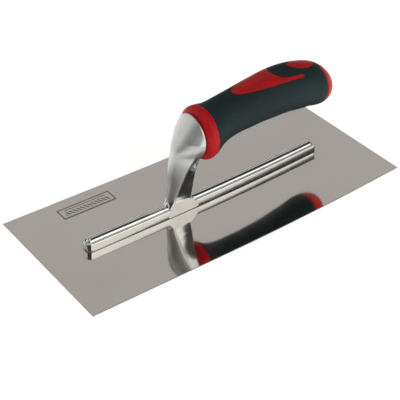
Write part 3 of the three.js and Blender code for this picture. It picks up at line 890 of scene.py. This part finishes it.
def round_bar(name, sizes, start, end, radius, segments=48):
    """A straight round bar on the bolt's line."""
    return skin(name, [[(x, a, bolt_line(sizes, x) + b) for a, b in circle(radius, segments)] for x in (start, end)])


# --- Handle -------------------------------------------------------------------------------------------


def handle_at(x):
    """Radius and centre height of the handle's outside at x, in metres."""
    sizes = bpy.context.scene.trowel_handle
    if x <= sizes.butt_start:
        radius = along(HANDLE_STATIONS, x / MM, 1) - sizes.skin_allowance / MM
        return radius * MM, along(HANDLE_STATIONS, x / MM, 2) * MM
    past = x - sizes.butt_start
    closing = min(past / sizes.butt_length, 1.0) ** sizes.butt_roundness
    _, radius, height = HANDLE_STATIONS[-2]
    radius = radius * MM - sizes.skin_allowance
    return radius * math.sqrt(1 - closing), height * MM - sizes.butt_fall * past


def handle_ring(x, inset, segments=96):
    radius, height = handle_at(x)
    return [(x, b, height + a) for a, b in circle(max(radius - inset, 0.0), segments)]


def waved_ring(sizes, x):
    """A ring of the grip, with the shallow finger waves pressed into its underside."""
    _, height = handle_at(x)
    pitch = (DIMPLES[1] - DIMPLES[0]) * MM
    press = sizes.wave_depth * (0.5 + 0.5 * math.cos(2 * math.pi * (x - DIMPLES[0] * MM) / pitch))
    fade = min(max((x / MM - WAVE_START) / WAVE_FADE, 0.0), 1.0)
    ring = []
    for place_x, y, z in handle_ring(x, 0.0):
        under = max(height - z, 0.0) / max(height - z, math.hypot(y, height - z), 1e-9)
        ring.append((place_x, y, z + press * fade * under ** 2))
    return ring


def evenly(start, end, count):
    return [start + (end - start) * k / count for k in range(count + 1)]


def mirrored(half):
    return list(half) + [(x, -y) for x, y in reversed(half[1:-1])]


def inlay_outline():
    points = [Vector((x * MM, y * MM)) for x, y in INLAY_HALF]
    smooth = []
    for i in range(len(points) - 1):
        before, start, end, after = (points[min(max(k, 0), len(points) - 1)] for k in (i - 1, i, i + 1, i + 2))
        for step in range(8):
            t = step / 8
            bend = 2 * before - 5 * start + 4 * end - after
            twist = -before + 3 * start - 3 * end + after
            smooth.append(0.5 * (2 * start + (end - before) * t + bend * t ** 2 + twist * t ** 3))
    smooth.append(points[-1])
    return mirrored([tuple(point) for point in smooth])


def oval_outline(sizes):
    turns = [math.pi * (1 - k / 36) for k in range(37)]
    return mirrored([(sizes.oval_x + sizes.oval_half_length * math.cos(t), sizes.oval_half_width * math.sin(t))
                     for t in turns])


def grown(outline, distance):
    """The outline pushed outwards by a distance."""
    result = []
    for i, (x, y) in enumerate(outline):
        ahead, behind = outline[(i + 1) % len(outline)], outline[i - 1]
        run = Vector((ahead[0] - behind[0], ahead[1] - behind[1])).normalized()
        result.append((x - run.y * distance, y + run.x * distance))
    return result


def window_prisms(sizes, growth):
    return (prism("inlay_window", grown(inlay_outline(), growth), WINDOW_FLOOR, WINDOW_CEILING),
            prism("oval_window", grown(oval_outline(sizes), growth), WINDOW_FLOOR, WINDOW_CEILING))


def dimple_pins(sizes):
    pins = []
    for x in DIMPLES:
        radius, height = handle_at(x * MM)
        underside = height - radius
        outline = [(x * MM + a, b) for a, b in circle(sizes.dimple_radius, 24)]
        pins.append(prism("dimple", outline, underside - 2 * OVERLAP, underside + sizes.dimple_depth))
    return pins


def grip_object(sizes):
    start = sizes.collar_end_x + sizes.joint_gap
    end = sizes.cap_start - sizes.joint_gap
    xs = evenly(start, end, 130)
    outer = [handle_ring(start, GRIP_EDGE)] + [waved_ring(sizes, x) for x in xs[1:-1]] + [handle_ring(end, GRIP_EDGE)]
    inner = [handle_ring(x, sizes.grip_thickness) for x in reversed(xs)]
    sleeve = skin("soft_grip", outer + inner, closed=True)
    return combine(sleeve, "DIFFERENCE", *window_prisms(sizes, sizes.joint_gap / 2), *dimple_pins(sizes))


def core_object(sizes, spigot_end):
    start, end = CORE_BOX[0].x, sizes.cap_start - sizes.joint_gap
    collar_end = sizes.collar_end_x
    inset = sizes.grip_thickness + sizes.joint_gap / 2
    collar_xs = evenly(start + COLLAR_FRONT[1], collar_end - COLLAR_BACK[1], 22)
    collar = [handle_ring(start, COLLAR_FRONT[0])] + [handle_ring(x, 0.0) for x in collar_xs]
    stem = [handle_ring(x, inset) for x in evenly(collar_end, end, 110)]
    core = skin("red_core", collar + [handle_ring(collar_end, COLLAR_BACK[0])] + stem)
    pads = []
    for window in window_prisms(sizes, -sizes.joint_gap / 2):
        pad = skin("pad", [handle_ring(x, 0.0) for x in evenly(collar_end, end, 130)])
        pads.append(combine(pad, "INTERSECT", window))
    combine(core, "UNION", *pads)
    holes = (
        round_bar("bolt_hole", sizes, start - OVERLAP, end + OVERLAP, sizes.bolt_hole_radius),
        round_bar("spigot_hole", sizes, start - OVERLAP, spigot_end + SPIGOT_CLEARANCE, sizes.spigot_hole_radius),
        round_bar("counterbore", sizes, sizes.counterbore_x, end + OVERLAP, sizes.counterbore_radius),
    )
    return combine(core, "DIFFERENCE", *holes)


def cap_object(sizes):
    start, tip = sizes.cap_start, CAP_BOX[1].x
    steps = 32
    rings = [handle_ring(start, CAP_EDGE)]
    for k in range(1, steps + 1):
        rings.append(handle_ring(start + (tip - start) * math.sin(math.pi / 2 * k / steps), 0.0))
    cap = skin("red_butt_cap", rings)
    stem = round_bar("stem", sizes, start - CAP_STEM, start + 2 * OVERLAP, sizes.counterbore_radius - STEM_CLEARANCE)
    return combine(cap, "UNION", stem)


# --- Operators ----------------------------------------------------------------------------------------


class TROWEL_OT_blade(bpy.types.Operator):
    """Grow the bowed blade with its rivet holes and its etched mark"""

    bl_idname = "trowel.blade"
    bl_label = "Blade"

    def execute(self, context):
        material = blade_steel(context)
        blade = grow_blade(context.scene.trowel_blade, material)
        finish_piece(blade, material, "blade_steel", 20, "blade")
        return {"FINISHED"}


class TROWEL_OT_rivets(bpy.types.Operator):
    """Grow the countersunk rivets along the blade"""

    bl_idname = "trowel.rivets"
    bl_label = "Rivets"

    def execute(self, context):
        material = rivet_metal(context)
        rivets = grow_rivets(context.scene.trowel_blade, material)
        finish_piece(rivets, material, "rivet_metal", 30, *RIVET_NAMES)
        return {"FINISHED"}


class TROWEL_OT_mounting(bpy.types.Operator):
    """Build the cast mounting: bar with its bead, shank, disc and spigot"""

    bl_idname = "trowel.mounting"
    bl_label = "Mounting"

    def execute(self, context):
        scene = context.scene
        sizes, handle = scene.trowel_mounting, scene.trowel_handle
        casting = bar_object(scene.trowel_blade, sizes)
        casting.name = "cast_mounting"
        front, collar = sizes.disc_rear - OVERLAP, CORE_BOX[0].x
        shoulder = round_bar("shoulder", handle, front, collar - handle.joint_gap, sizes.shoulder_radius, 96)
        spigot = round_bar("spigot", handle, front, sizes.spigot_end, sizes.spigot_radius)
        combine(casting, "UNION", pad_object(sizes), shank_object(sizes), shoulder, spigot)
        bore = round_bar("bore", handle, collar + THREAD_START, sizes.spigot_end + OVERLAP, sizes.thread_radius)
        drill = grow_rivets(scene.trowel_blade, None)
        combine(casting, "DIFFERENCE", bore, drill)
        finish_piece(casting, cast_aluminium(context), "cast_aluminium", 35, "mounting")
        return {"FINISHED"}


class TROWEL_OT_handle(bpy.types.Operator):
    """Build the red core with its collar and pads, the soft grip round it and the butt cap"""

    bl_idname = "trowel.handle"
    bl_label = "Handle"

    def execute(self, context):
        sizes = context.scene.trowel_handle
        red = red_plastic(context)
        spigot_end = context.scene.trowel_mounting.spigot_end
        finish_piece(core_object(sizes, spigot_end), red, "red_plastic", 32, "handle_core")
        finish_piece(grip_object(sizes), dark_rubber(context), "dark_rubber", 32, "grip")
        finish_piece(cap_object(sizes), red, "red_plastic", 32, "butt_cap")
        return {"FINISHED"}


class TROWEL_OT_fasteners(bpy.types.Operator):
    """Plate the bolt and the washer inside the handle"""

    bl_idname = "trowel.fasteners"
    bl_label = "Bolt and washer"

    def execute(self, context):
        material = zinc_steel(context)
        for name in ("handle_bolt", "bolt_washer"):
            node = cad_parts[name]
            if not node.material_slots:
                node.data.materials.append(material)
            for slot in node.material_slots:
                slot.material = material
        return {"FINISHED"}


def window(value, low, high, blur):
    """1 between low and high, fading over a blur on either side."""
    return value.ramp(low - blur, low + blur) * value.ramp(high + blur, high - blur)


def studio_world():
    """Soft boxes as windows in azimuth (from -Y towards +X) and elevation, in degrees, in a dark room."""
    world = bpy.data.worlds.new("studio")
    world.use_nodes = True
    net = Net(world.node_tree)
    x, y, z = net.parts(net.node("ShaderNodeTexCoord").outputs["Generated"])
    azimuth = x.math("ARCTAN2", 0.0 - y) * math.degrees(1.0)
    elevation = z.within(-1.0, 1.0).math("ARCSINE") * math.degrees(1.0)
    right_edge = FRONT_BOX["low_right"] - elevation.ramp(24.0, 34.0) * FRONT_BOX["step_in"]
    front = azimuth.ramp(-17.0, -13.0) * (right_edge - azimuth).ramp(-0.8, 0.8)
    light = front * window(elevation, -5.0, 48.0, 3.0) * FRONT_BOX["radiance"]
    for radiance, around, upward in SOFT_BOXES:
        light = light.most(window(azimuth, *around) * window(elevation, *upward) * radiance)
    light = light.most(elevation.ramp(66.0, 74.0) * TOP_RADIANCE).most(ROOM_RADIANCE)
    glow = net.node("ShaderNodeBackground", sockets={"Color": (1.0, 0.985, 0.965, 1.0), "Strength": light})
    output = net.node("ShaderNodeOutputWorld")
    net.tree.links.new(glow.outputs[0], output.inputs["Surface"])
    return world


class TROWEL_OT_stage(bpy.types.Operator):
    """Set the floor, the studio light and the camera"""

    bl_idname = "trowel.stage"
    bl_label = "Stage"

    def execute(self, context):
        scene = context.scene
        studio = scene.trowel_studio
        half = FLOOR_HALF
        corners = [(-half, -half, 0.0), (half, -half, 0.0), (half, half, 0.0), (-half, half, 0.0)]
        floor = new_object("floor", corners, [(0, 1, 2, 3)])
        floor.location.z = cad_box[0][2] - FLOOR_DROP
        floor.data.materials.append(floor_paper(context))
        scene.world = studio_world()
        camera = bpy.data.objects.new("camera", bpy.data.cameras.new("camera"))
        camera.data.lens = studio.lens
        camera.data.sensor_width = 36.0
        a, e = studio.azimuth, studio.elevation
        back = Vector((math.sin(a) * math.cos(e), -math.cos(a) * math.cos(e), math.sin(e)))
        side = Vector((0, 0, 1)).cross(back).normalized()
        up = back.cross(side)
        turn = Matrix((side, up, back)).transposed() @ Matrix.Rotation(studio.roll, 3, "Z")
        camera.matrix_world = turn.to_4x4()
        camera.location = CAMERA_TARGET + back * studio.distance
        camera.data.clip_start, camera.data.clip_end = 0.01, 20.0
        scene.collection.objects.link(camera)
        scene.camera = camera
        scene.view_settings.view_transform = "Standard"
        return {"FINISHED"}


class TROWEL_PT_panel(bpy.types.Panel):
    """Buttons for the trowel's pieces"""

    bl_label = "Finishing trowel"
    bl_idname = "TROWEL_PT_panel"
    bl_space_type = "VIEW_3D"
    bl_region_type = "UI"
    bl_category = "Trowel"

    def draw(self, context):
        for operator in OPERATORS:
            self.layout.operator(operator.bl_idname)
        for group in PROPERTY_GROUPS:
            settings = getattr(context.scene, group)
            for name in settings.bl_rna.properties.keys():
                if name not in {"rna_type", "name"}:
                    self.layout.prop(settings, name)


PROPERTY_GROUPS = {
    "trowel_blade": BladeSizes,
    "trowel_mounting": MountingSizes,
    "trowel_handle": HandleSizes,
    "trowel_finishes": Finishes,
    "trowel_studio": StudioSizes,
}
OPERATORS = (
    TROWEL_OT_stage,
    TROWEL_OT_blade,
    TROWEL_OT_rivets,
    TROWEL_OT_mounting,
    TROWEL_OT_handle,
    TROWEL_OT_fasteners,
)


def register():
    for group in PROPERTY_GROUPS.values():
        bpy.utils.register_class(group)
    for operator in OPERATORS:
        bpy.utils.register_class(operator)
    bpy.utils.register_class(TROWEL_PT_panel)
    for name, group in PROPERTY_GROUPS.items():
        setattr(bpy.types.Scene, name, PointerProperty(type=group))


def unregister():
    for name in PROPERTY_GROUPS:
        delattr(bpy.types.Scene, name)
    bpy.utils.unregister_class(TROWEL_PT_panel)
    for operator in reversed(OPERATORS):
        bpy.utils.unregister_class(operator)
    for group in reversed(list(PROPERTY_GROUPS.values())):
        bpy.utils.unregister_class(group)


def main():
    register()
    for operator in OPERATORS:
        group, name = operator.bl_idname.split(".")
        getattr(getattr(bpy.ops, group), name)()


if __name__ == "__main__":
    main()
